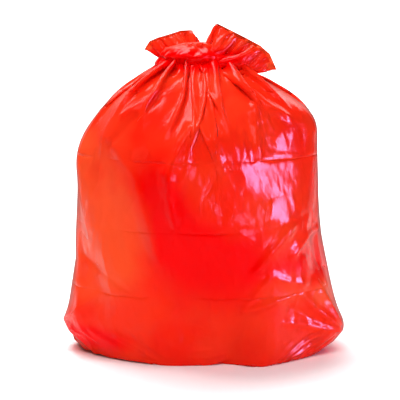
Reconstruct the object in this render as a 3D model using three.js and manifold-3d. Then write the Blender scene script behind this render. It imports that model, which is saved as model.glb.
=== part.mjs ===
// A filled garbage bag: one blown-film sack, sealed flat across its bottom and knotted shut in
// its own film, standing on a level floor. The solid is the outer shape of the filled sack.
// Millimetres, +Z up, -Y the front, the origin on the floor under the middle of the bag.
import * as THREE from "three";
import { mergeVertices } from "three/addons/utils/BufferGeometryUtils.js";
import Module from "manifold-3d";

// The belly and shoulders, level by level: height above the floor, width, depth, and how far
// the level's middle stands to the right of the origin.
const FOOT_WIDTH = 500;
const FOOT_DEPTH = 346;
const FOOT_SHIFT = -8;
const BELLY_HEIGHT = 90;
const BELLY_WIDTH = 524;
const BELLY_DEPTH = 366;
const WAIST_HEIGHT = 235;
const WAIST_WIDTH = 484;
const WAIST_DEPTH = 404;
const WAIST_SHIFT = -2;
const CHEST_HEIGHT = 392;
const CHEST_WIDTH = 472;
const CHEST_DEPTH = 400;
const CHEST_SHIFT = -12;
const SHOULDER_HEIGHT = 472;
const SHOULDER_WIDTH = 426;
const SHOULDER_DEPTH = 334;
const SHOULDER_SHIFT = 0;
const CROWN_HEIGHT = 528;
const CROWN_WIDTH = 288;
const CROWN_DEPTH = 208;
const CROWN_SHIFT = -4;
const NECK_HEIGHT = 562;
const NECK_WIDTH = 140;
const NECK_DEPTH = 96;
const NECK_SHIFT = -8;

// The radius that rounds the film off where it leaves the floor.
const HEM_RADIUS = 26;

// How square the bag's section is: 2 is an ellipse, and more is squarer.
const FOOT_SQUARENESS = 2.45;
const NECK_SQUARENESS = 2;

// The two ends of the bottom seal stick out as pointed corners.
const CORNER_SPAN = 558;
const CORNER_HEIGHT = 52;
const CORNER_RISE = 44;
const CORNER_SPREAD = 0.34;

// What is inside pushes a lobe out at the front right of the foot, beside a dent. The foot draws
// in under both corners, and the left side has two hollows with a swell between them.
const LUMPS = [
  { angle: -0.98, reach: 26, spread: 0.2, height: 30, rise: 110 },
  { angle: -1.24, reach: -18, spread: 0.12, height: 20, rise: 90 },
  { angle: -2.72, reach: -34, spread: 0.3, height: 0, rise: 45 },
  { angle: 0, reach: -14, spread: 0.4, height: 0, rise: 30 },
  { angle: 3, reach: -7, spread: 0.3, height: 238, rise: 16 },
  { angle: 3, reach: 4, spread: 0.3, height: 212, rise: 16 },
  { angle: 3.1, reach: -6, spread: 0.3, height: 186, rise: 16 },
];

// The gathers that run from the knot down over the shoulders.
const GATHER_COUNT = 15;
const GATHER_DEPTH = 7;
const GATHER_FALL = 62;

// The knot, and the two ears of film that come out of it.
const KNOT_WIDTH = 152;
const KNOT_DEPTH = 112;
const KNOT_HEIGHT = 72;
const KNOT_RISE = 18;
const KNOT_CREASE = 0.07;
const KNOT_TURNS = 5;
const KNOT_ROUND = 0.92;
const FILM_FOLD = 9;
const HEM_FOLD = 5;
const EAR_WAVE = 11;
const EAR_ROOT = 0.3;
const EAR_BELLY = 0.22;

// Each ear's root and the left and right ends of its hem, measured from the middle of the knot.
const LEFT_EAR = {
  root: new THREE.Vector3(-6, -2, -6),
  left: new THREE.Vector3(-106, 8, 14),
  right: new THREE.Vector3(-22, 14, 56),
};
const RIGHT_EAR = {
  root: new THREE.Vector3(10, -8, -8),
  left: new THREE.Vector3(36, 10, 64),
  right: new THREE.Vector3(152, -34, -24),
};

// How finely each body is divided: panels around it, and along it.
const WALL_PANELS = [120, 30];
const KNOT_PANELS = [28, 12];
const EAR_PANELS = [24, 8];
const SAME_POINT = 1e-5;

const FILM = new THREE.MeshStandardMaterial({
  name: "red_film",
  color: new THREE.Color(0.86, 0.02, 0.01),
  roughness: 0.28,
  metalness: 0,
});

// A closed body: a capped cylinder whose every vertex goes where place(angle, along, out) says.
// along runs from 0 at its lower cap to 1 at its upper one, and out from 0 at the middle of a
// cap to 1 at the wall.
function moulded([around, along], place) {
  const geometry = new THREE.CylinderGeometry(1, 1, 1, around, along);
  geometry.rotateX(Math.PI / 2);
  geometry.deleteAttribute("normal");
  geometry.deleteAttribute("uv");
  const merged = mergeVertices(geometry, SAME_POINT);
  const points = merged.getAttribute("position");
  for (let i = 0; i < points.count; i += 1) {
    const out = Math.hypot(points.getX(i), points.getY(i));
    const angle = Math.atan2(points.getY(i), points.getX(i));
    const placed = place(angle, points.getZ(i) + 0.5, out);
    points.setXYZ(i, placed.x, placed.y, placed.z);
  }
  return merged;
}

// The wall's levels from the floor to the knot, as a curve of half width, half depth and height.
const LEVELS = [
  [FOOT_WIDTH, FOOT_DEPTH, 0, FOOT_SHIFT],
  [BELLY_WIDTH - HEM_RADIUS / 2, BELLY_DEPTH - HEM_RADIUS / 2, HEM_RADIUS, 0],
  [BELLY_WIDTH, BELLY_DEPTH, BELLY_HEIGHT, 0],
  [WAIST_WIDTH, WAIST_DEPTH, WAIST_HEIGHT, WAIST_SHIFT],
  [CHEST_WIDTH, CHEST_DEPTH, CHEST_HEIGHT, CHEST_SHIFT],
  [SHOULDER_WIDTH, SHOULDER_DEPTH, SHOULDER_HEIGHT, SHOULDER_SHIFT],
  [CROWN_WIDTH, CROWN_DEPTH, CROWN_HEIGHT, CROWN_SHIFT],
  [NECK_WIDTH, NECK_DEPTH, NECK_HEIGHT, NECK_SHIFT],
];
const wallCurve = new THREE.CatmullRomCurve3(
  LEVELS.map(([width, depth, height]) => new THREE.Vector3(width / 2, depth / 2, height)),
);
const shiftCurve = new THREE.SplineCurve(
  LEVELS.map(([, , , shift], level) => new THREE.Vector2(level, shift)),
);

// 1 at no distance, falling smoothly to nothing over a few spreads.
const bell = (distance, spread) => Math.exp(-((distance / spread) ** 2));

// How far the pointed corner at one end of the seal reaches past the wall.
function cornerReach(halfWidth, angle, height) {
  const reach = CORNER_SPAN / 2 - halfWidth;
  const fromEnd = Math.asin(Math.abs(Math.sin(angle)));
  return reach * bell(fromEnd, CORNER_SPREAD) * bell(height - CORNER_HEIGHT, CORNER_RISE);
}

// The power of a sine or cosine that turns an ellipse into its squarer sister.
const squared = (ratio, squareness) => Math.sign(ratio) * Math.abs(ratio) ** (2 / squareness);

// The shorter way round from one angle to another, in radians.
const between = (from, to) => Math.atan2(Math.sin(to - from), Math.cos(to - from));

// How far a lump in the contents pushes the film out at one place of the wall.
const bulge = (lump, angle, height) =>
  lump.reach *
  bell(between(lump.angle, angle), lump.spread) *
  bell(height - lump.height, lump.rise);

// The film's wall, its flat foot and the gathers under the knot.
function wallPoint(angle, along, out) {
  const level = wallCurve.getPoint(along);
  const shift = shiftCurve.getPoint(along).y;
  const height = Math.max(level.z, 0);
  const gather =
    GATHER_DEPTH * Math.cos(GATHER_COUNT * angle) * bell(NECK_HEIGHT - height, GATHER_FALL);
  const corner = cornerReach(level.x, angle, height);
  const lumps = LUMPS.reduce((sum, lump) => sum + bulge(lump, angle, height), 0);
  const squareness = THREE.MathUtils.mapLinear(height, 0, NECK_HEIGHT, FOOT_SQUARENESS, NECK_SQUARENESS);
  const halfWidth = level.x + corner + gather + lumps;
  const halfDepth = level.y + gather + lumps;
  return new THREE.Vector3(
    out * (shift + halfWidth * squared(Math.cos(angle), squareness)),
    out * halfDepth * squared(Math.sin(angle), squareness),
    height,
  );
}

function knotPoint(angle, along, out) {
  const rise = Math.PI * (along - 0.5);
  const crease = 1 + KNOT_CREASE * Math.cos(KNOT_TURNS * angle + rise);
  const ring = out * crease * Math.cos(rise * KNOT_ROUND);
  return new THREE.Vector3(
    NECK_SHIFT + (KNOT_WIDTH / 2) * ring * Math.cos(angle),
    (KNOT_DEPTH / 2) * ring * Math.sin(angle),
    NECK_HEIGHT + KNOT_RISE + (KNOT_HEIGHT / 2) * Math.sin(rise),
  );
}

// An ear is a fan of film: its section is a flat oval that widens from the knot to the hem,
// from the line to its left end on one side to the line to its right end on the other.
function earPoint(ear, angle, along, out) {
  const across = 0.5 + 0.5 * out * Math.cos(angle);
  const reach = THREE.MathUtils.lerp(EAR_ROOT, 1, along);
  const share = 0.5 + (across - 0.5) * reach;
  const towards = new THREE.Vector3().lerpVectors(ear.left, ear.right, share);
  const belly = 1 + EAR_BELLY * Math.sin(Math.PI * share);
  const point = new THREE.Vector3()
    .subVectors(towards, ear.root)
    .multiplyScalar(reach * belly)
    .add(ear.root);
  const thick = THREE.MathUtils.lerp(FILM_FOLD, HEM_FOLD, along) * out * Math.sin(angle);
  const wave = EAR_WAVE * along * Math.sin(2 * Math.PI * share);
  point.y += thick + wave;
  point.x += NECK_SHIFT;
  point.z += NECK_HEIGHT + KNOT_RISE;
  return point;
}

const wasm = await Module();
wasm.setup();

function solid(geometry) {
  return new wasm.Manifold(
    new wasm.Mesh({
      numProp: 3,
      vertProperties: new Float32Array(geometry.getAttribute("position").array),
      triVerts: new Uint32Array(geometry.index.array),
    }),
  );
}

function geometryOf(joined) {
  const mesh = joined.getMesh();
  return new THREE.BufferGeometry()
    .setAttribute("position", new THREE.BufferAttribute(mesh.vertProperties, 3))
    .setIndex(new THREE.BufferAttribute(mesh.triVerts, 1));
}

// The whole bag is one piece of film, so its wall, knot and ears are one solid.
function garbageBag() {
  const wall = solid(moulded(WALL_PANELS, wallPoint));
  const knot = solid(moulded(KNOT_PANELS, knotPoint));
  const ears = [LEFT_EAR, RIGHT_EAR].map((ear) =>
    solid(moulded(EAR_PANELS, (angle, along, out) => earPoint(ear, angle, along, out))),
  );
  const joined = ears.reduce((bag, ear) => bag.add(ear), wall.add(knot));
  const bag = new THREE.Mesh(geometryOf(joined), FILM);
  bag.name = "garbage_bag";
  return bag;
}

const part = new THREE.Group();
part.add(garbageBag());

export default part;
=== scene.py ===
"""A filled garbage bag of glossy red film, knotted shut in its own mouth, on a pale studio floor.

The bag's film is a tube that keeps its lengths: it is laid round the filling, gathered into the
knot and left to settle, first on a coarse grid and then on finer ones. Metres, +Z up, -Y front.
"""
import logging
import math
from dataclasses import dataclass, field
from enum import Enum
from typing import Any, Callable, ClassVar, Optional, Sequence, Union

import bpy
import numpy as np
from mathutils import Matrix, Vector


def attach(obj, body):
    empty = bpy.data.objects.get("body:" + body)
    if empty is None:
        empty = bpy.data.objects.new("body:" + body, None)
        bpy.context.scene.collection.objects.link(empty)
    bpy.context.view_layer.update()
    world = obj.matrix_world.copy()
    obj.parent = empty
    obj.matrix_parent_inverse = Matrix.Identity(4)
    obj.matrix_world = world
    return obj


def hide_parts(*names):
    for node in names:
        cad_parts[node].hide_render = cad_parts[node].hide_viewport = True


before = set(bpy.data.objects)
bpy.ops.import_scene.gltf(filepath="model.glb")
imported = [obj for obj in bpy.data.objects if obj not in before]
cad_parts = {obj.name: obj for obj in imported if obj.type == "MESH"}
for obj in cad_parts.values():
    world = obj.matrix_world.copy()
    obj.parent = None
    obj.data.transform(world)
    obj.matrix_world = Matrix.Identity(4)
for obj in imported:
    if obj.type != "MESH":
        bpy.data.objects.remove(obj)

Array = np.ndarray
Tint = tuple[float, float, float]

LOG = logging.getLogger("garbage_bag")

# The film's gap to the floor and the distance at which its seams are joined, in metres, and what
# keeps a division from zero.
FLOOR_GAP = 0.0006
WELD = 1e-5
TINY = 1e-6


class Place(Enum):
    """Which coordinates a material is laid on."""

    OBJECT = "Object"
    FILM = "UV"
    DIRECTION = "Generated"


class Socket:
    """A shader output that can be used in a Python expression."""

    def __init__(self, shader: "Shader", output: bpy.types.NodeSocket) -> None:
        """Wraps one output socket of the shader's tree."""
        self.shader = shader
        self.output = output

    def _math(self, operation: str, *values: Any, clamp: bool = False) -> "Socket":
        """Adds a Math node that works on this value and the others.

        Args:
            operation: the node's operation.
            values: what it works on after this value.
            clamp: whether the result is held between 0 and 1.

        Returns:
            The result.
        """
        inputs = {index: value for index, value in enumerate((self, *values))}
        settings = {"operation": operation, "use_clamp": clamp}
        return self.shader.add("ShaderNodeMath", settings, inputs)

    def __add__(self, other: Any) -> "Socket":
        """Sum."""
        return self._math("ADD", other)

    def __mul__(self, other: Any) -> "Socket":
        """Product."""
        return self._math("MULTIPLY", other)

    def __sub__(self, other: Any) -> "Socket":
        """Difference."""
        return self._math("SUBTRACT", other)

    def __pow__(self, other: Any) -> "Socket":
        """Power."""
        return self._math("POWER", other)

    def __abs__(self) -> "Socket":
        """Size without its sign."""
        return self._math("ABSOLUTE")

    def clamped(self) -> "Socket":
        """This value held between 0 and 1."""
        return self._math("ADD", 0.0, clamp=True)

    def exp(self) -> "Socket":
        """e to this power."""
        return self._math("EXPONENT")

    def smooth(self, low: float, high: float, start: float = 0.0, end: float = 1.0) -> "Socket":
        """A smooth step.

        Args:
            low: where the step begins.
            high: where it ends.
            start: the result up to low.
            end: the result from high on.

        Returns:
            The stepped value.
        """
        settings = {"interpolation_type": "SMOOTHSTEP", "clamp": True}
        inputs = {"Value": self, "From Min": low, "From Max": high, "To Min": start, "To Max": end}
        return self.shader.add("ShaderNodeMapRange", settings, inputs)


class Shader:
    """The node tree of a material or of the world, built by expressions."""

    mix_low = 6
    mix_high = 7
    mix_result = 2

    def __init__(self, owner: Union[bpy.types.Material, bpy.types.World]) -> None:
        """Empties a node tree.

        Args:
            owner: the material or the world that the tree belongs to.
        """
        owner.use_nodes = True
        self.owner = owner
        self.tree = owner.node_tree
        self.tree.nodes.clear()

    def node(
        self,
        kind: str,
        settings: Optional[dict[str, Any]] = None,
        inputs: Optional[dict[Union[str, int], Any]] = None,
    ) -> bpy.types.Node:
        """Adds one node.

        Args:
            kind: the node's Blender type.
            settings: properties of the node.
            inputs: values or Sockets for its inputs, by name or place.

        Returns:
            The node.
        """
        node = self.tree.nodes.new(kind)
        for key, value in (settings or {}).items():
            setattr(node, key, value)
        for key, value in (inputs or {}).items():
            if isinstance(value, Socket):
                self.tree.links.new(value.output, node.inputs[key])
            else:
                node.inputs[key].default_value = value
        return node

    def add(
        self,
        kind: str,
        settings: Optional[dict[str, Any]] = None,
        inputs: Optional[dict[Union[str, int], Any]] = None,
        output: Union[str, int] = 0,
    ) -> Socket:
        """Adds one node for one of its outputs.

        Args:
            kind: the node's Blender type.
            settings: properties of the node.
            inputs: values or Sockets for its inputs, by name or place.
            output: which output is wanted.

        Returns:
            The wanted output.
        """
        return Socket(self, self.node(kind, settings, inputs).outputs[output])

    def coordinates(self, which: Place) -> Socket:
        """The coordinates of each shaded point."""
        return self.add("ShaderNodeTexCoord", output=which.value)

    def attribute(self, name: str) -> Socket:
        """A number that the mesh holds at each point."""
        return self.add("ShaderNodeAttribute", {"attribute_name": name}, output="Fac")

    def facing(self) -> Socket:
        """0 where the film faces the eye, rising to 1 where it turns away."""
        return self.add("ShaderNodeLayerWeight", None, {"Blend": 0.5}, "Facing")

    def parts(self, vector: Socket) -> tuple[Socket, ...]:
        """The x, y and z of a vector."""
        split = self.node("ShaderNodeSeparateXYZ", None, {0: vector})
        return tuple(Socket(self, split.outputs[axis]) for axis in range(3))

    def scaled(self, vector: Socket, scale: Tint) -> Socket:
        """A vector times another, part by part."""
        settings = {"operation": "MULTIPLY"}
        return self.add("ShaderNodeVectorMath", settings, {0: vector, 1: scale})

    def blend(self, factor: Socket, low: Any, high: Any) -> Socket:
        """A colour between two.

        Args:
            factor: 0 for the first colour to 1 for the second.
            low: the first colour, as a tint or a Socket.
            high: the second.

        Returns:
            The colour.
        """
        ends = {self.mix_low: low, self.mix_high: high}
        inputs = {key: end if isinstance(end, Socket) else (*end, 1.0) for key, end in ends.items()}
        settings = {"data_type": "RGBA", "clamp_factor": True}
        return self.add("ShaderNodeMix", settings, {0: factor, **inputs}, self.mix_result)

    def finish(self, surface: Socket) -> None:
        """Links the surface to the output of the material or the world."""
        kind = "World" if isinstance(self.owner, bpy.types.World) else "Material"
        self.node(f"ShaderNodeOutput{kind}", None, {"Surface": surface})


@dataclass(frozen=True)
class Grain:
    """Smooth noise of one size."""

    scale: float
    detail: float = 3.0
    rough: float = 0.5

    def on(self, place: Socket) -> Socket:
        """The noise over a place, from 0 to 1."""
        inputs = {"Vector": place, "Scale": self.scale, "Detail": self.detail, "Roughness": self.rough}
        return place.shader.add("ShaderNodeTexNoise", None, inputs)


@dataclass(frozen=True)
class PaintedLightPatch:
    """An oval of painted light on the bag, standing for light through one layer of film, that warms its
    colour; a share below nothing paints shade and deepens the red.
    """

    x: float
    z: float
    width: float
    height: float
    share: float
    slant: float = 0.0
    sharp: float = 1.0

    def on(self, x: Socket, z: Socket) -> Socket:
        """How strong the patch is at a place.

        Args:
            x: metres to the right.
            z: metres up.

        Returns:
            Its share of warmth there.
        """
        up = z - self.z
        across = (x - up * self.slant - self.x) * (1 / self.width)
        up = up * (1 / self.height)
        return (((across * across + up * up) ** self.sharp) * -1.0).exp() * self.share


@dataclass(frozen=True)
class FilmFinish:
    """Blown polyethylene film: saturated red, glossy, a little see-through, with its glow of light through
    the film painted into its colour.
    """

    deep: Tint = (0.90, 0.0001, 0.0001)
    # The lit copy of the red below is painted light, mixed in where the film should glow warmer.
    painted_lit: Tint = (0.95, 0.072, 0.018)
    # Painted rim shade: the dark colour laid where the film turns away from the eye.
    edge: Tint = (0.30, 0.050, 0.030)
    gloss_tint: Tint = (1.0, 0.56, 0.66)
    refraction: float = 1.45
    gloss: float = 0.095
    roughness: float = 0.11
    uneven_roughness: float = 0.12
    unevenness: Grain = Grain(24.0)
    turned_roughness: float = 0.40
    turned_edge: tuple[float, float] = (0.55, 0.90)
    wrinkles: Grain = Grain(30.0, 4.0)
    wrinkle_height: float = 0.0013
    wrinkle_way: Tint = (1.0, 0.30, 1.0)
    crinkles: Grain = Grain(60.0, 5.0, 0.6)
    crinkle_height: float = 0.0005
    crumples: Sequence[tuple[Grain, float]] = (
        (Grain(9.0, 1.5, 0.45), 0.020),
        (Grain(21.0, 1.5, 0.45), 0.0055),
        (Grain(47.0, 1.5, 0.45), 0.0018),
    )
    crumple_way: Tint = (1.0, 0.55, 1.0)
    crease_height: float = 0.0017
    crease_levels: Sequence[float] = (0.140, 0.265, 0.396, 0.520)
    crease_slant: float = 0.035
    crease_sharpness: float = 420.0
    crease_marks: Grain = Grain(6.0, 2.0)
    crease_edge: tuple[float, float] = (0.42, 0.60)
    crease_wavers: Grain = Grain(12.0, 2.0)
    crease_waver: float = 0.010
    # Shares of painted light: a base amount, random clouds and single layers of film, scaled by the gains.
    painted_warm_light: float = 0.26
    clouds: Grain = Grain(9.0)
    cloud_edge: tuple[float, float] = (0.30, 0.62)
    cloud_painted_light: float = 0.10
    cloud_gain: float = 0.4
    clear_gain: float = 0.7
    single_layer_painted_glow: float = 0.7
    # Where and how strongly the painted rim shade darkens the film.
    painted_rim_shade_edge: tuple[float, float] = (0.62, 0.98)
    painted_rim_shade_share: float = 0.95
    # Ovals of painted light, and of painted shade where the share is below nothing.
    painted_light_patches: Sequence[PaintedLightPatch] = (
        PaintedLightPatch(-0.212, 0.315, 0.090, 0.150, 0.52, -0.43, 3.0),
        PaintedLightPatch(-0.205, 0.180, 0.080, 0.070, 0.40, 0.30, 2.0),
        PaintedLightPatch(0.010, 0.200, 0.125, 0.085, -0.36, -0.30, 2.0),
        PaintedLightPatch(-0.072, 0.320, 0.052, 0.080, -0.34, -0.20, 2.0),
        PaintedLightPatch(0.155, 0.150, 0.062, 0.030, 0.30, 0.0, 2.0),
        PaintedLightPatch(0.205, 0.185, 0.050, 0.040, -0.30, 0.0, 2.0),
        PaintedLightPatch(0.245, 0.125, 0.032, 0.026, 0.85, 0.0, 2.0),
        PaintedLightPatch(0.150, 0.300, 0.060, 0.050, 0.16),
        PaintedLightPatch(-0.225, 0.040, 0.080, 0.026, -0.40, 0.0, 2.0),
        PaintedLightPatch(-0.010, 0.575, 0.120, 0.026, -0.40, 0.0, 2.0),
    )

    def _colour(self, shader: Shader) -> Socket:
        """Deep red, warmed by painted light in random clouds, in patches and at single layers, deepened by
        painted shade in some patches, and darkened by painted rim shade where it turns away.

        Args:
            shader: the film's shader.

        Returns:
            The base colour.
        """
        place = shader.coordinates(Place.OBJECT)
        x, _, z = shader.parts(place)
        cloud = self.clouds.on(place).smooth(*self.cloud_edge)
        # Painted light: a base share, random clouds, placed ovals and single layers of film.
        painted_warm_light = cloud * self.cloud_painted_light + self.painted_warm_light
        for painted_patch in self.painted_light_patches:
            painted_warm_light = painted_warm_light + painted_patch.on(x, z)
        gain = cloud * self.cloud_gain + self.clear_gain
        painted_lit = painted_warm_light * gain + shader.attribute("thin") * self.single_layer_painted_glow
        colour = shader.blend(painted_lit.clamped(), self.deep, self.painted_lit)
        # Painted rim shade where the film turns away.
        painted_rim_shade = shader.facing().smooth(*self.painted_rim_shade_edge) * self.painted_rim_shade_share
        return shader.blend(painted_rim_shade, colour, self.edge)

    def _height(self, shader: Shader) -> Socket:
        """Wrinkles that run up the film, crumples, and the level creases that it was packed by.

        Args:
            shader: the film's shader.

        Returns:
            The height of the surface, in metres.
        """
        film = shader.coordinates(Place.FILM)
        wrinkle = self.wrinkles.on(shader.scaled(film, self.wrinkle_way))
        crinkle = self.crinkles.on(film)
        height = wrinkle * self.wrinkle_height + crinkle * self.crinkle_height
        drawn_out = shader.scaled(film, self.crumple_way)
        for grain, deep in self.crumples:
            height = height + abs(grain.on(drawn_out) - 0.5) * deep
        place = shader.coordinates(Place.OBJECT)
        x, _, z = shader.parts(place)
        marked = self.crease_marks.on(place).smooth(*self.crease_edge) * self.crease_height
        waver = self.crease_wavers.on(place) * self.crease_waver
        level = z - x * x * self.crease_slant + waver
        for mark in self.crease_levels:
            height = height - (abs(level - mark) * -self.crease_sharpness).exp() * marked
        return height

    def material(self) -> bpy.types.Material:
        """Builds the film's material.

        Returns:
            The material, on film coordinates in metres for its wrinkles and object coordinates
            for its creases and colour.
        """
        film = bpy.data.materials.new("red_film")
        shader = Shader(film)
        uneven = self.unevenness.on(shader.coordinates(Place.OBJECT)) * self.uneven_roughness
        turned = shader.facing().smooth(*self.turned_edge) * self.turned_roughness
        bump = {"Height": self._height(shader), "Distance": 1.0, "Strength": 1.0}
        inputs = {
            "Base Color": self._colour(shader),
            "Roughness": uneven + turned + self.roughness,
            "IOR": self.refraction,
            "Specular IOR Level": self.gloss,
            "Specular Tint": (*self.gloss_tint, 1.0),
            "Normal": shader.add("ShaderNodeBump", None, bump),
        }
        shader.finish(shader.add("ShaderNodeBsdfPrincipled", None, inputs))
        return film


@dataclass(frozen=True)
class Level:
    """The filling's section at one height."""

    width: float
    depth: float
    height: float
    shift: float


@dataclass(frozen=True)
class Lump:
    """A place where the filling pushes the film out, or leaves a dent."""

    angle: float
    reach: float
    spread: float
    height: float
    rise: float

    def at(self, angle: Array, height: Array) -> Array:
        """How far it pushes the wall out.

        Args:
            angle: direction about the middle, in radians.
            height: metres above the floor.

        Returns:
            Metres, less than nothing for a dent.
        """
        around = (angle - self.angle + math.pi) % (2 * math.pi) - math.pi
        near = np.exp(-((around / self.spread) ** 2) - ((height - self.height) / self.rise) ** 2)
        return self.reach * near


@dataclass(frozen=True)
class Ripple:
    """A wave in the filling's wall that turns slowly with height."""

    reach: float
    waves: int
    phase: float
    twist: float

    def at(self, angle: Array, height: Array) -> Array:
        """How far it pushes the wall out there, in metres."""
        return self.reach * np.cos(self.waves * angle + self.phase + self.twist * height)


@dataclass(frozen=True)
class Ridge:
    """A fold in the front of the film, as a line of (x, z) places in metres."""

    reach: float
    width: float
    way: Sequence[tuple[float, float]]
    thins_from: ClassVar[float] = 0.7
    sharpness: ClassVar[float] = 1.4

    def at(self, x: Array, z: Array) -> Array:
        """How far it lifts the film. Each stretch of the line grows thinner towards its end.

        Args:
            x: metres to the right.
            z: metres up.

        Returns:
            Metres, less than nothing for a crease.
        """
        nearest = np.full(x.shape, np.inf)
        for (ax, az), (bx, bz) in zip(self.way, self.way[1:]):
            run, climb = bx - ax, bz - az
            share = np.clip(((x - ax) * run + (z - az) * climb) / (run**2 + climb**2), 0, 1)
            thin = 1 + 2.0 * np.maximum(share - self.thins_from, 0)
            off = np.hypot(x - ax - share * run, z - az - share * climb)
            nearest = np.minimum(nearest, thin * off)
        return self.reach * np.exp(-((nearest / self.width) ** self.sharpness))


@dataclass(frozen=True)
class Facet:
    """A flat panel of the front where the film is stretched straight between lumps."""

    x: float
    z: float
    cut: float
    turn: float = 0.0
    lean: float = 0.0
    reach: float = 0.16


RIDGES = (
    # The left panel's edge, then upright folds and slack lines of the front.
    Ridge(0.0035, 0.006, ((-0.178, 0.43430), (-0.128, 0.36562), (-0.080, 0.20200))),
    Ridge(
        0.0130,
        0.0100,
        ((-0.020, 0.45248), (-0.044, 0.41208), (-0.062, 0.37168), (-0.058, 0.31512), (-0.050, 0.27876)),
    ),
    Ridge(0.0085, 0.0070, ((0.022, 0.43430), (0.028, 0.40602), (0.038, 0.37572))),
    Ridge(0.0085, 0.0080, ((0.100, 0.49288), (0.100, 0.44844), (0.104, 0.39592))),
    Ridge(0.0035, 0.004, ((0.074, 0.44844), (0.078, 0.40400))),
    Ridge(-0.0030, 0.004, ((0.040, 0.39592), (0.024, 0.35956), (0.006, 0.33128))),
    Ridge(-0.0035, 0.005, ((-0.232, 0.20200), (-0.184, 0.16968), (-0.136, 0.14544))),
    Ridge(0.0030, 0.005, ((0.132, 0.31512), (0.124, 0.27876))),
    # Pleats that run out over the shoulders.
    Ridge(0.0060, 0.006, ((0.048, 0.55348), (0.088, 0.52116), (0.124, 0.49288), (0.164, 0.46864))),
    Ridge(0.0060, 0.005, ((0.004, 0.55752), (0.016, 0.53732), (0.030, 0.50500))),
    Ridge(0.0050, 0.005, ((0.024, 0.55752), (0.036, 0.53328), (0.038, 0.50500))),
    Ridge(-0.0060, 0.006, ((-0.084, 0.50500), (-0.124, 0.47066), (-0.176, 0.42016))),
    Ridge(0.0045, 0.006, ((-0.060, 0.54136), (-0.094, 0.51308), (-0.152, 0.47268))),
    # Level creases, where the sack was folded.
    Ridge(-0.0016, 0.002, ((0.052, 0.39592), (0.112, 0.39592))),
    Ridge(-0.0018, 0.002, ((0.128, 0.41208), (0.186, 0.40198))),
    Ridge(-0.0020, 0.002, ((0.052, 0.26462), (0.130, 0.26866), (0.172, 0.27674), (0.230, 0.29290))),
    Ridge(-0.0012, 0.002, ((-0.220, 0.26664), (-0.160, 0.26664))),
    # Folds that fan out towards the foot's right corner.
    Ridge(0.0060, 0.0060, ((0.172, 0.21412), (0.202, 0.24240), (0.244, 0.25654))),
    Ridge(0.0080, 0.0075, ((0.170, 0.26664), (0.136, 0.22624), (0.096, 0.18584))),
    Ridge(-0.0040, 0.007, ((0.196, 0.21412), (0.240, 0.16968))),
    Ridge(0.0065, 0.0050, ((0.078, 0.11110), (0.120, 0.12120), (0.166, 0.13332))),
    Ridge(
        0.0050,
        0.006,
        ((0.076, 0.11514), (0.106, 0.14948), (0.130, 0.17574), (0.162, 0.16160), (0.198, 0.15150)),
    ),
    Ridge(0.0060, 0.006, ((0.188, 0.13332), (0.228, 0.09292), (0.270, 0.05252))),
    Ridge(0.0050, 0.005, ((0.156, 0.08282), (0.216, 0.06464), (0.268, 0.04848))),
    Ridge(-0.0050, 0.005, ((0.168, 0.10908), (0.220, 0.07878), (0.256, 0.05858))),
    Ridge(0.0045, 0.005, ((0.220, 0.15352), (0.248, 0.10908), (0.274, 0.06060))),
    # Folds at the foot's left corner.
    Ridge(0.0050, 0.006, ((-0.276, 0.06060), (-0.232, 0.02424), (-0.188, -0.01212))),
    Ridge(0.0040, 0.006, ((-0.276, 0.06464), (-0.244, 0.09292), (-0.196, 0.13332))),
)

FACETS = (
    Facet(0.160, 0.352, 0.0050, -0.06, 0.0, 0.11),
    Facet(0.150, 0.228, 0.0040, -0.16, 0.0, 0.06),
    Facet(0.110, 0.452, 0.0050),
    Facet(-0.185, 0.330, 0.0050, 0.05),
    Facet(-0.120, 0.450, 0.0050),
    Facet(0.130, 0.150, 0.0040, 0.0, -0.08, 0.08),
    Facet(0.210, 0.200, 0.0045, 0.0, 0.0, 0.08),
    Facet(-0.215, 0.090, 0.0060),
)


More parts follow.
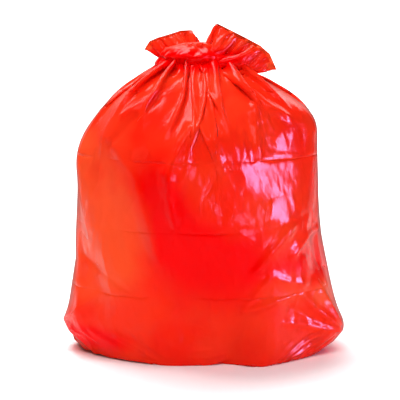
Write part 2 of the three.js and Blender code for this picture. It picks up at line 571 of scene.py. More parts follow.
@dataclass
class Filling:
    """The loose waste in the bag, as the shape that its wall is pressed into."""

    levels: Sequence[Level] = (
        Level(0.500, 0.346, 0.000, -0.008),
        Level(0.511, 0.354, 0.026, 0.000),
        Level(0.524, 0.364, 0.090, 0.000),
        Level(0.484, 0.402, 0.235, -0.002),
        Level(0.472, 0.410, 0.392, -0.012),
        Level(0.426, 0.340, 0.472, 0.000),
        Level(0.288, 0.206, 0.528, -0.004),
        Level(0.140, 0.096, 0.562, -0.008),
        Level(0.118, 0.080, 0.585, -0.008),
    )
    foot_squareness: float = 2.45
    neck_squareness: float = 2.0
    right_tip: tuple[float, float] = (0.279, 0.050)
    left_tip: tuple[float, float] = (-0.280, 0.056)
    tip_spread: float = 0.34
    tip_rise: float = 0.040
    lumps: Sequence[Lump] = (
        Lump(-0.98, 0.026, 0.20, 0.030, 0.110),
        Lump(-1.24, -0.018, 0.12, 0.020, 0.090),
        Lump(-2.72, -0.024, 0.40, 0.000, 0.050),
        Lump(0.00, -0.014, 0.40, 0.000, 0.030),
        Lump(3.00, -0.007, 0.30, 0.238, 0.012),
        Lump(3.10, -0.006, 0.30, 0.186, 0.014),
        Lump(3.00, 0.004, 0.30, 0.212, 0.014),
    )
    ripples: Sequence[Ripple] = (
        Ripple(0.0060, 3, 0.5, 12.0),
        Ripple(0.0050, 5, 1.9, -17.0),
        Ripple(0.0040, 7, 0.3, 20.0),
        Ripple(0.0030, 11, 1.3, 30.0),
    )
    ridges: Sequence[Ridge] = RIDGES
    facets: Sequence[Facet] = FACETS
    ridge_share: float = 0.5
    relief_reach: float = 0.30
    relief_step: float = 0.002
    relief_top: float = 0.62
    deepest_flat: float = 0.020
    front_fade: float = 0.03
    rim: float = 0.995
    thinnest: float = 0.005
    nearest_share: float = 0.05
    slope_step: float = 0.002
    slope_range: tuple[float, float] = (-1.0, 3.0)
    uneven_heights: Sequence[float] = (0.0, 0.04, 0.47, 0.56)
    uneven_shares: Sequence[float] = (0.3, 1.0, 1.0, 0.0)
    loose_heights: Sequence[float] = (0.02, 0.12, 0.45, 0.52, 0.60)
    loose_limits: Sequence[float] = (1, 2, 4, 7, 30)
    furthest_move: float = 0.03
    top: float = 0.575
    curve: Array = field(init=False)
    relief: Array = field(init=False)

    def __post_init__(self) -> None:
        """Runs a smooth curve through the levels, and lays out the relief of the front."""
        knots = np.array([[s.width / 2, s.depth / 2, s.height, s.shift] for s in self.levels])
        ends = np.vstack([2 * knots[0] - knots[1], knots, 2 * knots[-1] - knots[-2]])
        steps = np.linspace(0, 1, 60, endpoint=False)[:, None]
        spans = []
        for a, b, c, d in zip(ends, ends[1:], ends[2:], ends[3:]):
            cubic = (3 * b - a - 3 * c + d) * steps**3
            square = (2 * a - 5 * b + 4 * c - d) * steps**2
            spans.append(0.5 * (2 * b + (c - a) * steps + square + cubic))
        self.curve = np.vstack([*spans, knots[-1:]])
        self.relief = self._front_relief()

    def _front_relief(self) -> Array:
        """How far ridges and facets move the front of the wall out.

        Returns:
            A grid of metres, by x and then z, in steps of relief_step.
        """
        across = np.arange(-self.relief_reach, self.relief_reach, self.relief_step)
        x, z = np.meshgrid(across, np.arange(0, self.relief_top, self.relief_step), indexing="ij")
        half_width, half_depth, shift = self.half_sizes(z)
        power = self.squareness(z)
        share = np.clip(np.abs(x - shift) / half_width, 0, self.rim)
        depth = half_depth * (1 - share**power) ** (1 / power)
        slope_x, slope_z = np.gradient(depth, self.relief_step)
        out = sum(ridge.at(x, z) for ridge in self.ridges) * self.ridge_share
        for facet in self.facets:
            column = int(round((facet.x + self.relief_reach) / self.relief_step))
            row = int(round(facet.z / self.relief_step))
            tilt_x = slope_x[column, row] + facet.turn
            tilt_z = slope_z[column, row] + facet.lean
            plane = depth[column, row] + tilt_x * (x - facet.x) + tilt_z * (z - facet.z)
            lean = np.sqrt(1 + tilt_x**2 + tilt_z**2)
            above = (depth - plane) / lean + facet.cut
            near = np.exp(-((np.hypot(x - facet.x, z - facet.z) / facet.reach) ** 4))
            out -= np.clip(above, 0, self.deepest_flat) * near
        return out

    def front(self, x: Array, y: Array, z: Array) -> Array:
        """The relief of the front at points, fading out towards the bag's sides and back.

        Args:
            x: metres to the right.
            y: metres to the back.
            z: metres up.

        Returns:
            Metres outwards.
        """
        column = np.clip((x + self.relief_reach) / self.relief_step, 0, self.relief.shape[0] - 1.01)
        row = np.clip(z / self.relief_step, 0, self.relief.shape[1] - 1.01)
        i, j = column.astype(int), row.astype(int)
        u, v = column - i, row - j
        low = self.relief[i, j] * (1 - u) + self.relief[i + 1, j] * u
        high = self.relief[i, j + 1] * (1 - u) + self.relief[i + 1, j + 1] * u
        return (low * (1 - v) + high * v) * np.clip(-y / self.front_fade, 0, 1)

    def half_sizes(self, height: Array) -> tuple[Array, Array, Array]:
        """Half width, half depth and shift at a height."""
        at = self.curve[:, 2]
        return tuple(np.interp(height, at, self.curve[:, part]) for part in (0, 1, 3))

    def squareness(self, height: Array) -> Array:
        """The power of the section's oval at a height."""
        heights = (0.0, self.levels[-2].height)
        return np.interp(height, heights, (self.foot_squareness, self.neck_squareness))

    def push(self, angle: Array, height: Array) -> Array:
        """How far corners and lumps stand out of the plain oval.

        Args:
            angle: direction about the middle, in radians.
            height: metres above the floor.

        Returns:
            Metres outwards.
        """
        half, _, shift = self.half_sizes(height)
        out = sum(lump.at(angle, height) for lump in self.lumps)
        tips = ((self.right_tip, 0.0, 1), (self.left_tip, math.pi, -1))
        for (reach, tall), side, sign in tips:
            stand = np.maximum(sign * (reach - shift) - half, 0.0)
            tip = Lump(side, 1.0, self.tip_spread, tall, self.tip_rise)
            out = out + stand * tip.at(angle, height)
        return out

    def unevenness(self, angle: Array, height: Array) -> Array:
        """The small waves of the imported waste."""
        fade = np.interp(height, self.uneven_heights, self.uneven_shares)
        return fade * sum(ripple.at(angle, height) for ripple in self.ripples)

    def wall(self, angle: Array, height: Array, off: float = 0.0) -> tuple[Array, Array]:
        """A point of the wall.

        Args:
            angle: direction about the middle, in radians.
            height: metres above the floor.
            off: metres outside the wall.

        Returns:
            Its x and y.
        """
        half_width, half_depth, shift = self.half_sizes(height)
        power = 2 / self.squareness(height)
        stand = off + self.push(angle, height)
        cos, sin = np.cos(angle), np.sin(angle)
        x = shift + (half_width + stand) * np.sign(cos) * np.abs(cos) ** power
        return x, (half_depth + stand) * np.sign(sin) * np.abs(sin) ** power

    def push_out(self, points: Array, shrink: float, limit: float) -> tuple[Array, Array]:
        """Where points would go to lie between the wall and the furthest that film stands off it.

        Args:
            points: grid of points.
            shrink: how far inside its nominal wall the filling ends.
            limit: how far outside the filling the film may stand low on the wall.

        Returns:
            The moves, and which points touch the filling.
        """
        x, y, z = points[..., 0], points[..., 1], points[..., 2]
        half_width, half_depth, shift = self.half_sizes(z)
        power = self.squareness(z)
        x = x - shift
        angle = np.arctan2(y, x)
        stand = self.push(angle, z) + self.unevenness(angle, z) - shrink
        stand = stand + self.front(x + shift, y, z)
        a = np.maximum(half_width + stand, self.thinnest)
        b = np.maximum(half_depth + stand, self.thinnest)
        ratio = ((np.abs(x) / a) ** power + (np.abs(y) / b) ** power) ** (1 / power)
        ratio = np.maximum(ratio, self.nearest_share)
        radius = np.hypot(x, y) + TINY
        above = self.half_sizes(z + self.slope_step)
        narrower = half_width + half_depth - above[0] - above[1]
        slope = np.clip(narrower / (2 * self.slope_step), *self.slope_range)
        inside = (ratio < 1) & (z < self.top)
        gap = np.where(inside, np.minimum((1 / ratio - 1) * radius, self.furthest_move), 0.0)
        far = np.interp(z, self.loose_heights, [share * limit for share in self.loose_limits])
        over = (1 - 1 / ratio) * radius - far
        gap = np.where(over > 0, -0.5 * over, gap)
        share = gap / (1 + slope**2)
        moves = np.stack([share * x / radius, share * y / radius, share * slope], -1)
        return moves.astype(np.float32), inside


@dataclass(frozen=True)
class Settling:
    """One spell of settling on one grid."""

    steps: int
    gravity: float
    pressure: float
    bend: float
    shrink: float = 0.004
    damping: float = 0.95


class FilmTube:
    """A tube of film as a grid of points, rows up it and columns round it."""

    grip = 0.30
    floor_grip = 0.5
    fastest = 0.006
    passes = 4
    slack = 0.9
    slant_slack = 0.8

    def __init__(self, points: Array, along: Array, around: float, free: Array, seal: bool) -> None:
        """Lays the tube.

        Args:
            points: rows x columns x 3, where the film starts.
            along: rows x columns, how far along the flat film each point is.
            around: the flat tube's way round.
            free: rows x columns, 1 where a point may move and 0 where it is held.
            seal: whether the first row is sealed flat.
        """
        self.points = points.astype(np.float32)
        self.along = along
        self.around = around
        self.free = free.astype(np.float32)[..., None]
        # Marks of single layers of film, for the colour's painted glow; none unless set.
        self.thin = np.zeros(along.shape)
        self.seal = seal
        self.before = self.points.copy()
        step = around / points.shape[1]
        ahead = np.roll(along, -1, 1)
        single = np.float32
        self.rest_round = np.hypot(step, ahead - along).astype(single)
        self.rest_up = (along[1:] - along[:-1]).astype(single)
        self.rest_rising = np.hypot(step, ahead[1:] - along[:-1]).astype(single)
        self.rest_falling = np.hypot(step, along[1:] - ahead[:-1]).astype(single)
        self.rest_two_round = np.hypot(2 * step, np.roll(along, -2, 1) - along).astype(single)
        self.rest_two_up = (along[2:] - along[:-2]).astype(single)

    @staticmethod
    def _pull(first: Array, second: Array, rest: Array, weights: Array, taut: float, slack: float) -> Array:
        """The move that brings pairs of points to their rest distance.

        Args:
            first: one end of each pair.
            second: the other end.
            rest: the flat film's distance.
            weights: the two ends' freedoms, summed.
            taut: share of a stretch that is taken out.
            slack: share of a squeeze that is taken out.

        Returns:
            The move of the first end; the second's is the opposite.
        """
        apart = second - first
        length = np.sqrt(np.einsum("...k,...k", apart, apart)) + 1e-9
        excess = (length - rest) / length
        share = np.where(excess > 0, excess * taut, excess * slack)
        return apart * (share / (weights[..., 0] + TINY))[..., None]

    def _join(
        self, lo: Any, hi: Any, rest: Array, taut: float, slack: float, turn: tuple[int, int] = (0, 0)
    ) -> None:
        """Pulls one set of points and another to their rest distance.

        Args:
            lo: index of the first ends.
            hi: index of the second ends.
            rest: their distance in the flat film.
            taut: share of a stretch that is taken out.
            slack: share of a squeeze that is taken out.
            turn: by how many columns each set is turned before pairing.
        """
        points, free = self.points, self.free
        first, second = points[lo], points[hi]
        loose, tight = free[lo], free[hi]
        if turn[0]:
            first, loose = np.roll(first, -turn[0], 1), np.roll(loose, -turn[0], 1)
        if turn[1]:
            second, tight = np.roll(second, -turn[1], 1), np.roll(tight, -turn[1], 1)
        move = self._pull(first, second, rest, loose + tight, taut, slack)
        points[lo] += np.roll(loose * move, turn[0], 1)
        points[hi] -= np.roll(tight * move, turn[1], 1)

    def keep_lengths(self, bend: float, shear: float = 0.5) -> None:
        """Brings every pair of neighbours once towards the flat film's distance.

        Args:
            bend: share of a bend that is taken out.
            shear: share of a slant that is taken out.
        """
        rows, columns = self.along.shape
        every, slant = slice(None), shear * self.slant_slack
        even, odd = slice(0, None, 2), slice(1, None, 2)
        self._join((every, even), (every, odd), self.rest_round[:, even], 1.0, self.slack)
        self._join((every, odd), (every, even), self.rest_round[:, odd], 1.0, self.slack, (0, 1))
        for start in (0, 1):
            pairs = (rows - start) // 2
            lo = slice(start, start + 2 * pairs, 2)
            hi = slice(start + 1, start + 1 + 2 * pairs, 2)
            rest = slice(start, start + 2 * pairs - 1, 2)
            self._join(lo, hi, self.rest_up[rest], 1.0, self.slack)
            self._join(lo, hi, self.rest_rising[rest], shear, slant, (0, 1))
            self._join(lo, hi, self.rest_falling[rest], shear, slant, (1, 0))
        for start in (0, 2):
            near = np.arange(columns).reshape(-1, 4)[:, start : start + 2].ravel()
            far = (near + 2) % columns
            self._join((every, near), (every, far), self.rest_two_round[:, near], 0.0, bend)
            low = np.array([row for row in range(rows - 2) if row % 4 in (start, start + 1)])
            self._join(low, low + 2, self.rest_two_up[low], 0.0, bend)
        if self.seal:
            mirrored = (-np.arange(columns)) % columns
            self.points[0] = 0.5 * (self.points[0] + self.points[0][mirrored])

    def normals(self) -> Array:
        """The film's directions outwards.

        Returns:
            A unit vector for each point.
        """
        round_way = np.roll(self.points, -1, 1) - np.roll(self.points, 1, 1)
        up_way = np.gradient(self.points, axis=0)
        normal = np.cross(round_way, up_way)
        return normal / (np.linalg.norm(normal, axis=-1, keepdims=True) + 1e-9)

    def settle(self, spell: Settling, filling: Optional[Filling], limit: float = 0.004) -> None:
        """Lets the film hang, swell and slide for one spell.

        Args:
            spell: how long, and under what forces.
            filling: what the film lies on, if anything.
            limit: how far the film may stand off the filling low on its wall.
        """
        speed = np.zeros_like(self.points)
        for _ in range(spell.steps):
            self.before = self.points.copy()
            speed *= spell.damping
            speed[..., 2] -= spell.gravity
            if spell.pressure:
                speed += spell.pressure * self.normals()
            self.points += speed * self.free
            for _ in range(self.passes):
                self.keep_lengths(spell.bend)
            if filling is not None:
                self._lie_on(filling, spell.shrink, limit)
            speed = self.points - self.before
            pace = np.linalg.norm(speed, axis=-1, keepdims=True)
            speed *= np.minimum(1, self.fastest / (pace + 1e-9))

    def _lie_on(self, filling: Filling, shrink: float, limit: float) -> None:
        """Keeps the film outside the filling and above the floor.

        Args:
            filling: what the film lies on.
            shrink: how far inside its nominal wall the filling ends.
            limit: how far the film may stand off the filling low on its wall.
        """
        points, free = self.points, self.free
        moves, touching = filling.push_out(points, shrink, limit)
        points += moves * free
        points += (self.before - points) * (touching[..., None] * self.grip) * free
        low = points[..., 2] < FLOOR_GAP
        points[..., 2][low] = FLOOR_GAP
        drag = low[..., None] * self.floor_grip
        points[..., :2] += (self.before[..., :2] - points[..., :2]) * drag * free

    @staticmethod
    def _between(values: Array, axis: int) -> Array:
        """Adds a smooth midpoint between neighbours.

        Args:
            values: rows x columns of numbers or points.
            axis: 0 between rows and 1 between columns, where the last meets the first.

        Returns:
            The finer grid.
        """
        if axis == 1:
            outer = np.roll(values, 1, 1) + np.roll(values, -2, 1)
            middle = (9 * (values + np.roll(values, -1, 1)) - outer) / 16
            shape = (values.shape[0], 2 * values.shape[1], *values.shape[2:])
        else:
            padded = np.concatenate([2 * values[:1] - values[1:2], values, 2 * values[-1:] - values[-2:-1]])
            middle = (9 * (padded[1:-2] + padded[2:-1]) - (padded[:-3] + padded[3:])) / 16
            shape = (2 * values.shape[0] - 1, *values.shape[1:])
        finer = np.empty(shape, values.dtype)
        if axis == 1:
            finer[:, 0::2], finer[:, 1::2] = values, middle
        else:
            finer[0::2], finer[1::2] = values, middle
        return finer

    def finer(self, free: Callable[[Array], Array]) -> "FilmTube":
        """The same film on a grid twice as fine.

        Args:
            free: says from the points which of them may move.

        Returns:
            The finer tube.
        """
        points = self._between(self._between(self.points, 1), 0)
        along = self._between(self._between(self.along, 1), 0)
        return FilmTube(points, along, self.around, free(points), self.seal)


@dataclass(frozen=True)
class Taut:
    """An oval of the front where the filling presses the film smooth."""

    x: float
    z: float
    width: float
    height: float
    in_front_of: float
    passes: int
    ways: tuple[int, ...]

    def press(self, tube: FilmTube) -> None:
        """Takes the folds out of the film there.

        Args:
            tube: the settled film.
        """
        for _ in range(self.passes):
            x, y, z = (tube.points[..., axis] for axis in range(3))
            across, up = (x - self.x) / self.width, (z - self.z) / self.height
            share = 0.5 * np.exp(-((across**2 + up**2) ** 2)) * (y < self.in_front_of)
            share[[0, -1]] = 0.0
            turns = [np.roll(tube.points, step, way) for step in (1, -1) for way in self.ways]
            tube.points += (sum(turns) / len(turns) - tube.points) * share[..., None]


@dataclass
class Sack:
    """The bag below the knot: a tube sealed across its bottom and gathered at its neck."""

    filling: Filling
    around: float = 1.440
    spare: float = 0.98
    snug: float = 0.986
    columns: int = 72
    rows: int = 48
    pleats: int = 17
    neck_half_width: float = 0.059
    neck_half_depth: float = 0.040
    wing: float = 0.060
    laid_gap: float = 0.004
    laid_lift: float = 0.001
    foot_lift: float = 0.002
    foot_points: int = 22
    foot_top: float = 0.090
    wall_from: float = 0.095
    under_points: int = 12
    around_at: float = 0.020
    standing_share: float = 0.97
    standing_height: float = 0.0025
    uneven_pleats: Sequence[tuple[float, int, float]] = ((0.35, 3, 1.0), (0.3, 5, 2.3))
    bundle_middle: float = 0.66
    bundle_swing: float = 0.34
    crease_from: float = 0.1
    crease_fade: float = 0.4
    seed: int = 5
    spread: float = 0.001
    swell: float = 0.010
    swell_run: float = 0.060
    swell_length: float = 0.83
    crease_share: float = 0.8
    taut: Sequence[Taut] = (
        Taut(0.020, 0.250, 0.110, 0.130, -0.05, 60, (1,)),
        Taut(-0.195, 0.012, 0.075, 0.030, 0.0, 14, (0, 1)),
    )
    spells: Sequence[Settling] = (
        Settling(150, 0.00010, 0.000024, 0.02),
        Settling(100, 0.00006, 0.000017, 0.03),
        Settling(60, 0.00004, 0.000012, 0.04),
    )

    def _sealed_share(self, columns: int) -> Array:
        """How far each column is from its end of the bottom seal, along the film."""
        share = np.arange(columns) / columns * 2 % 1
        return np.minimum(share, 1 - share) * self.around / 2

    def free(self, points: Array) -> Array:
        """Which points may move: not the neck, the seal's ends or what the filling stands on.

        Args:
            points: the film's grid of points.

        Returns:
            1 where a point may move and 0 where it is held.
        """
        free = np.ones(points.shape[:2])
        free[-1] = 0.0
        half_width, half_depth, shift = self.filling.half_sizes(self.laid_lift)
        power = self.filling.foot_squareness
        x, y = points[..., 0] - shift, points[..., 1]
        stand = self.filling.push(np.arctan2(y, x), np.zeros(x.shape))
        x, y = np.abs(x) / (half_width + stand), np.abs(y) / (half_depth + stand)
        under = (x**power + y**power) ** (1 / power) < self.standing_share
        free[under & (points[..., 2] < self.standing_height)] = 0.0
        free[0, self._sealed_share(points.shape[1]) < self.wing] = 0.0
        return free

    def _path(self, angle: float, from_end: float) -> Array:
        """One column's way from the seal, over the foot's edge and up to the neck.

        Args:
            angle: the column's direction about the middle, in radians.
            from_end: how far along the seal it starts from the seal's nearer end.

        Returns:
            The points of the way.
        """
        filling = self.filling
        side = 1 if math.cos(angle) > 0 else -1
        tip_x, tip_z = filling.right_tip if side > 0 else filling.left_tip
        foot_x = filling.wall(0.0 if side > 0 else math.pi, self.foot_lift)[0]
        if from_end < self.wing:
            share = from_end / self.wing
            rise = tip_z * (1 - share)
            way = [np.array([tip_x + (foot_x - tip_x) * share, 0.0, rise + self.laid_lift])]
            lowest = rise + self.foot_lift
        else:
            share = (from_end - self.wing) / (self.around / 4 - self.wing)
            seal_x = foot_x * (1 - share) + filling.levels[0].shift * share
            start = np.array([seal_x, 0.0, self.laid_lift])
            edge = np.array([*filling.wall(angle, 0.0), self.laid_lift])
            way = [start + (edge - start) * t for t in np.linspace(0, 1, self.under_points)]
            lowest = self.foot_lift
        rising = filling.curve[filling.curve[:, 2] > self.wall_from, 2]
        foot = np.linspace(self.laid_gap, self.foot_top, self.foot_points)
        for height in np.concatenate([foot, rising]):
            if height > lowest:
                way.append(np.array([*filling.wall(angle, height, self.laid_gap), height]))
        return np.array(way)

    def _laid_out(self) -> tuple[Array, Array]:
        """Lays the film out round the filling.

        Returns:
            Where its points start, and how far along the flat film each is.
        """
        columns, rows = self.columns, self.rows
        fine = np.linspace(0, 2 * math.pi, 2000)
        x, y = self.filling.wall(fine, self.around_at)
        run = np.concatenate([[0], np.cumsum(np.hypot(np.diff(x), np.diff(y)))])
        angles = np.interp(np.arange(columns) / columns, run / run[-1], fine)
        share = np.linspace(0, 1, rows)
        points = np.zeros((rows, columns, 3))
        length = np.zeros(columns)
        for column, from_end in enumerate(self._sealed_share(columns)):
            way = self._path(angles[column], from_end)
            run = np.concatenate([[0], np.cumsum(np.linalg.norm(np.diff(way, axis=0), axis=1))])
            length[column] = run[-1]
            for axis in range(3):
                points[:, column, axis] = np.interp(share * run[-1], run, way[:, axis])
        for _ in range(4):
            length = 0.5 * length + 0.25 * (np.roll(length, 1) + np.roll(length, -1))
        return points, share[:, None] * length[None] * self.spare

    def _gathered(self, points: Array) -> Array:
        """Pulls the neck in to a pleated bundle, with the pleats running out below it.

        Args:
            points: the film as it is laid out.

        Returns:
            The same points, with the neck gathered.
        """
        rows, columns = points.shape[:2]
        share = np.arange(columns) / columns
        uneven = sum(
            reach * np.sin(2 * times * math.pi * share + phase)
            for reach, times, phase in self.uneven_pleats
        )
        wave = np.cos(2 * math.pi * (self.pleats * share + uneven))
        middle = self.filling.levels[-1].shift
        below = (1 - np.arange(rows) / (rows - 1)) * self.swell_length
        swell = self.swell * np.exp(-below / self.swell_run)[:, None] * wave
        x, y = points[..., 0] - middle, points[..., 1]
        radius = np.hypot(x, y) + TINY
        points[..., 0] += swell * x / radius
        points[..., 1] += swell * y / radius
        top = points[-1]
        angle = np.arctan2(top[:, 1] / self.neck_half_depth, (top[:, 0] - middle) / self.neck_half_width)
        bundle = self.bundle_middle + self.bundle_swing * wave
        top[:, 0] = middle + self.neck_half_width * bundle * np.cos(angle)
        top[:, 1] = self.neck_half_depth * bundle * np.sin(angle)
        return points

    def settled(self) -> FilmTube:
        """Lays the film round the filling and lets it settle, coarse to fine.

        Returns:
            The settled film.
        """
        random = np.random.default_rng(self.seed)
        points, along = self._laid_out()
        points = self._gathered(points)
        points[1:-1] += random.normal(0, self.spread, points[1:-1].shape)
        tube = FilmTube(points, along, self.around * self.snug, self.free(points), True)
        for number, spell in enumerate(self.spells):
            if number:
                tube = tube.finer(self.free)
            tube.settle(spell, self.filling)
        for place in self.taut:
            place.press(tube)
        return self._creased(tube)

    def _creased(self, tube: FilmTube) -> FilmTube:
        """Lifts the named folds out of the settled front.

        Args:
            tube: the settled film.

        Returns:
            The same film, with its folds sharp.
        """
        x, y, z = (tube.points[..., axis] for axis in range(3))
        lift = sum(ridge.at(x, z) for ridge in self.filling.ridges)
        normal = tube.normals()
        front = np.clip((-normal[..., 1] - self.crease_from) / self.crease_fade, 0, 1)
        tube.points += (self.crease_share * lift * front)[..., None] * normal
        tube.points[..., 2] = np.maximum(tube.points[..., 2], FLOOR_GAP)
        return tube


@dataclass
class Ear:
    """One ear of the mouth: a flattened tube of film that fans out of the knot to its hem."""

    hem: Sequence[Tint]
    root: Tint
    root_reach: Tint
    root_thickness: float = 0.012
    gap: float = 0.007
    step_back: float = 0.10
    pleats: int = 7
    pleat_height: float = 0.007
    pleat_drift: float = 1.1
    pleat_fade: float = 1.3
    single_from: float = 0.3
    bow: float = 0.006
    spread: float = 0.0008
    slack: float = 1.03
    columns: int = 96
    rows: int = 29
    seed: int = 3
    spell: Settling = Settling(60, 0.00002, 0.00002, 0.04)

    def _along_hem(self, share: Array) -> Array:
        """Points of the hem.

        Args:
            share: how far along the hem each is, from 0 to 1.

        Returns:
            The points.
        """
        hem = np.array(self.hem)
        run = np.concatenate([[0], np.cumsum(np.linalg.norm(np.diff(hem, axis=0), axis=1))])
        return np.stack([np.interp(share * run[-1], run, hem[:, axis]) for axis in range(3)], -1)

    def settled(self) -> FilmTube:
        """Fans the film out from root to hem and lets it settle.

        Returns:
            The settled ear.
        """
        turn = np.arange(self.columns) / self.columns
        share = 1 - np.abs(1 - 2 * turn)
        front = np.sin(2 * math.pi * turn)
        hem = self._along_hem(share)
        root = np.array(self.root) + (share - 0.5)[:, None] * 2 * np.array(self.root_reach)
        reach = 1 - self.step_back * np.maximum(front, 0) ** 0.5
        hem = root + (hem - root) * reach[:, None]
        hem[:, 1] -= self.gap * front
        root[:, 1] -= self.root_thickness * front
        rise = np.linspace(0, 1, self.rows)[:, None]
        points = root[None] + (hem - root)[None] * rise[..., None]
        wave = np.cos(2 * math.pi * self.pleats * turn + self.pleat_drift * np.sin(4 * math.pi * turn))
        points[..., 1] += self.pleat_height * (1 - rise) ** self.pleat_fade * wave
        points[..., 1] -= self.bow * np.sin(math.pi * rise)
        points[1:-1] += np.random.default_rng(self.seed).normal(0, self.spread, points[1:-1].shape)
        along = rise * np.linalg.norm(hem - root, axis=1)[None] * self.slack
        stretches = np.diff(self._along_hem(np.linspace(0, 1, 50)), axis=0)
        length = np.linalg.norm(stretches, axis=1).sum()
        free = np.ones(points.shape[:2])
        free[0] = free[-1] = 0.0
        tube = FilmTube(points, along, 2 * length * self.slack, free, False)
        tube.settle(self.spell, None)
        # Single layers of film near the hem, where the colour gets a painted glow.
        tube.thin = (rise > 1 - self.step_back) * (front < self.single_from)[None] * 1.0
        return tube


@dataclass
class Knot:
    """The knot: the neck's film wrapped about itself, in deep slanting creases."""

    middle: tuple[float, float] = (-0.010, 0.0)
    profile: Sequence[Tint] = (
        (0.050, 0.034, 0.546),
        (0.072, 0.047, 0.551),
        (0.079, 0.054, 0.566),
        (0.077, 0.053, 0.582),
        (0.060, 0.042, 0.598),
        (0.034, 0.026, 0.607),
        (0.002, 0.002, 0.609),
    )
    sways: Sequence[tuple[float, int, float]] = ((0.7, 1, 0.4), (0.3, 3, 1.0))
    wrap_height: float = 0.009
    wrap_climb: float = 7.5
    fold_height: float = 0.003
    folds: int = 6
    fold_climb: float = -9.0
    fold_sway: float = 2.2
    line_height: float = 0.0008
    lines: int = 13
    line_climb: float = 15.0
    line_sway: float = 3.0
    crown_fade: float = 6.0
    tilt: float = 0.3
    tilts: int = 3
    film_length: float = 0.12
    film_around: float = 0.46
    columns: int = 160
    rows: int = 57

    def tube(self) -> FilmTube:
        """Shapes the knot.

        Returns:
            Its film, from under the knot to its crown.
        """
        turn = np.arange(self.columns) / self.columns * 2 * math.pi
        rise = np.linspace(0, 1, self.rows)
        at = np.linspace(0, 1, len(self.profile))
        wide, deep, tall = (np.interp(rise, at, [s[part] for s in self.profile]) for part in range(3))
        around, up = np.meshgrid(turn, rise)
        sway = sum(reach * np.sin(times * around + phase) for reach, times, phase in self.sways)
        wrap = 1 - np.abs(np.sin(around + self.wrap_climb * up + sway))
        fold = 1 - np.abs(np.sin(self.folds * around + self.fold_climb * up + self.fold_sway * sway))
        climb = self.line_climb * up * (1 - up)
        line = 1 - np.abs(np.sin(self.lines * around + climb + self.line_sway * sway))
        out = self.wrap_height * (0.5 - wrap) + self.fold_height * (0.5 - fold)
        out += self.line_height * (0.5 - line)
        out *= np.minimum(1, self.crown_fade * (1 - up))
        x = self.middle[0] + (wide[:, None] + out) * np.cos(around)
        y = self.middle[1] + (deep[:, None] + out) * np.sin(around)
        z = np.broadcast_to(tall[:, None], x.shape) + self.tilt * out * np.sin(self.tilts * around)
        points = np.stack([x, y, z], -1)
        along = np.broadcast_to(rise[:, None] * self.film_length, x.shape).copy()
        return FilmTube(points, along, self.film_around, np.ones(x.shape), False)


def film_mesh(name: str, tube: FilmTube) -> bpy.types.Object:
    """Makes a tube of film a mesh, with film coordinates in metres as its UV map.

    Args:
        name: the object's name.
        tube: the settled film.

    Returns:
        The mesh object, its side seam and its bottom seal joined.
    """
    rows, columns = tube.along.shape
    bpy.ops.object.select_all(action="DESELECT")
    bpy.ops.mesh.primitive_grid_add(x_subdivisions=columns, y_subdivisions=rows - 1, size=2)
    film = bpy.context.object
    film.name = film.data.name = name
    mesh = film.data
    flat = np.zeros(len(mesh.vertices) * 3)
    mesh.vertices.foreach_get("co", flat)
    flat = flat.reshape(-1, 3)
    column = np.rint((flat[:, 0] + 1) / 2 * columns).astype(int)
    row = np.rint((flat[:, 1] + 1) / 2 * (rows - 1)).astype(int)
    placed = tube.points[row, column % columns].astype(float)
    mesh.vertices.foreach_set("co", placed.ravel())
    corners = np.zeros(len(mesh.loops), int)
    mesh.loops.foreach_get("vertex_index", corners)
    across = column * tube.around / columns
    along = tube.along[row, column % columns]
    layer = mesh.uv_layers[0].data
    layer.foreach_set("uv", np.stack([across[corners], along[corners]], -1).ravel())
    # Marks single layers of film for the colour's painted glow.
    thin = mesh.attributes.new("thin", "FLOAT", "POINT")
    thin.data.foreach_set("value", tube.thin[row, column % columns].astype(float))
    mesh.update()
    bpy.ops.object.mode_set(mode="EDIT")
    bpy.ops.mesh.select_all(action="SELECT")
    bpy.ops.mesh.remove_doubles(threshold=WELD)
    bpy.ops.mesh.normals_make_consistent(inside=False)
    bpy.ops.object.mode_set(mode="OBJECT")
    bpy.ops.object.shade_smooth()
    return film


@dataclass(frozen=True)
class SoftLight:
    """A rectangular soft light aimed at the bag."""

    name: str
    place: Tint
    size: tuple[float, float]
    power: float
    colour: Tint = (1.0, 1.0, 1.0)
    towards: Optional[Tint] = None
    washes: bool = True

    def hang(self, aim: Vector) -> None:
        """Adds the light to the scene.

        Args:
            aim: the point that it faces, unless it has one of its own.
        """
        aim = Vector(self.towards) if self.towards else aim
        lamp = bpy.data.lights.new(self.name, "AREA")
        lamp.shape = "RECTANGLE"
        lamp.size, lamp.size_y = self.size
        lamp.energy = self.power
        lamp.color = self.colour
        hung = bpy.data.objects.new(self.name, lamp)
        bpy.context.collection.objects.link(hung)
        hung.location = self.place
        hung.visible_diffuse = self.washes
        hung.rotation_euler = (aim - hung.location).to_track_quat("-Z", "Y").to_euler()


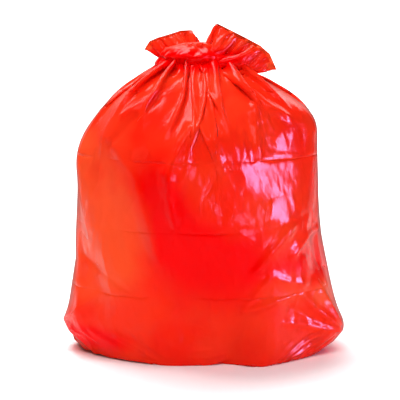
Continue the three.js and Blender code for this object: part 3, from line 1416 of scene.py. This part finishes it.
@dataclass
class Studio:
    """Floor, lights, surroundings and camera."""

    view_width: float = 0.800
    distance: float = 2.6
    elevation: float = math.radians(8.0)
    aim: Vector = field(default_factory=lambda: Vector((-0.004, 0.0, 0.295)))
    backdrop: float = 2.0
    room: float = 0.12
    backdrop_from: float = 0.86
    backdrop_full: float = 0.96
    floor_side: float = 14.0
    floor_shades: tuple[Tint, Tint] = ((0.94, 0.94, 0.94), (0.97, 0.97, 0.97))
    floor_grain: Grain = Grain(3.0)
    floor_roughness: float = 0.7
    sensor: float = 36.0
    lights: Sequence[SoftLight] = (
        SoftLight("right_window", (1.84, -0.76, 0.52), (0.62, 0.8), 185.0, (0.95, 0.52, 1.0), None, False),
        SoftLight("tall_window", (1.28, -1.96, 0.50), (0.13, 0.62), 27.0, (1.0, 0.55, 0.90), None, False),
        SoftLight("left_window", (-1.9, -0.6, 0.7), (1.0, 1.2), 7.0, (1.0, 0.80, 0.50), None, False),
        SoftLight("overhead", (-0.5, 0.35, 2.3), (1.2, 0.8), 50.0),
        SoftLight("front_wash", (0.0, -2.2, 3.2), (2.4, 0.8), 76.0, towards=(0.0, -0.6, 0.0)),
        SoftLight("floor_wash", (0.0, 4.2, 3.2), (7.0, 4.0), 420.0, towards=(0.0, 4.3, 0.0)),
    )

    def floor(self) -> None:
        """Lays the pale floor."""
        bpy.ops.object.select_all(action="DESELECT")
        bpy.ops.mesh.primitive_plane_add(size=self.floor_side)
        floor = bpy.context.object
        floor.name = "floor"
        pale = bpy.data.materials.new("pale_floor")
        shader = Shader(pale)
        grain = self.floor_grain.on(shader.coordinates(Place.OBJECT))
        inputs = {"Base Color": shader.blend(grain, *self.floor_shades), "Roughness": self.floor_roughness}
        shader.finish(shader.add("ShaderNodeBsdfPrincipled", None, inputs))
        floor.data.materials.append(pale)

    def light(self) -> None:
        """Hangs the lights and sets the pale surroundings."""
        for light in self.lights:
            light.hang(self.aim)
        world = bpy.data.worlds.new("pale_room")
        bpy.context.scene.world = world
        shader = Shader(world)
        _, away, _ = shader.parts(shader.coordinates(Place.DIRECTION))
        strength = away.smooth(self.backdrop_from, self.backdrop_full, self.room, self.backdrop)
        sky = {"Color": (1.0, 1.0, 1.0, 1.0), "Strength": strength}
        shader.finish(shader.add("ShaderNodeBackground", None, sky))

    def camera(self) -> None:
        """Sets the camera a little above the bag's middle, looking along +Y."""
        lens = bpy.data.cameras.new("camera")
        camera = bpy.data.objects.new("camera", lens)
        bpy.context.collection.objects.link(camera)
        back = Vector((0.0, -math.cos(self.elevation), math.sin(self.elevation)))
        camera.location = self.aim + self.distance * back
        camera.rotation_euler = (-back).to_track_quat("-Z", "Y").to_euler()
        lens.sensor_width = self.sensor
        lens.lens = lens.sensor_width * self.distance / self.view_width
        bpy.context.scene.camera = camera

    def set_up(self) -> None:
        """Builds the whole studio, with colours shown as they are."""
        self.floor()
        self.light()
        self.camera()
        bpy.context.scene.view_settings.view_transform = "Standard"


EARS = {
    "left_ear": Ear(
        hem=(
            (-0.114, 0.004, 0.594),
            (-0.104, 0.006, 0.610),
            (-0.088, 0.008, 0.617),
            (-0.064, 0.010, 0.624),
            (-0.042, 0.012, 0.631),
            (-0.022, 0.012, 0.632),
            (-0.006, 0.010, 0.612),
        ),
        root=(-0.018, -0.006, 0.586),
        root_reach=(0.014, 0.004, 0.016),
    ),
    "right_ear": Ear(
        hem=(
            (0.018, 0.000, 0.628),
            (0.030, -0.004, 0.645),
            (0.050, -0.010, 0.635),
            (0.086, -0.020, 0.617),
            (0.114, -0.028, 0.602),
            (0.132, -0.034, 0.586),
            (0.145, -0.040, 0.556),
        ),
        root=(0.012, -0.026, 0.578),
        root_reach=(0.004, -0.012, -0.021),
        step_back=0.09,
        seed=9,
    ),
}


def main() -> None:
    """Builds the bag, then the studio."""
    logging.basicConfig(level=logging.INFO, format="%(name)s: %(message)s")
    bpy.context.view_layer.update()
    finish = FilmFinish().material()
    filling = Filling()
    tube = Sack(filling).settled()
    film = film_mesh("bag_film", tube)
    pieces = [film_mesh("knot", Knot().tube())]
    pieces += [film_mesh(name, ear.settled()) for name, ear in EARS.items()]
    for piece in (film, *pieces):
        piece.data.materials.append(finish)
        LOG.info("%s: %d faces", piece.name, len(piece.data.polygons))
    bpy.ops.object.select_all(action="DESELECT")
    for piece in (*pieces, film):
        piece.select_set(True)
    bpy.context.view_layer.objects.active = film
    bpy.ops.object.join()
    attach(film, "root")
    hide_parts("garbage_bag")
    LOG.info("joined as %s: %d faces", film.name, len(film.data.polygons))
    Studio().set_up()
    LOG.info("studio: %d lights", len(Studio.lights))


if __name__ == "__main__":
    main()
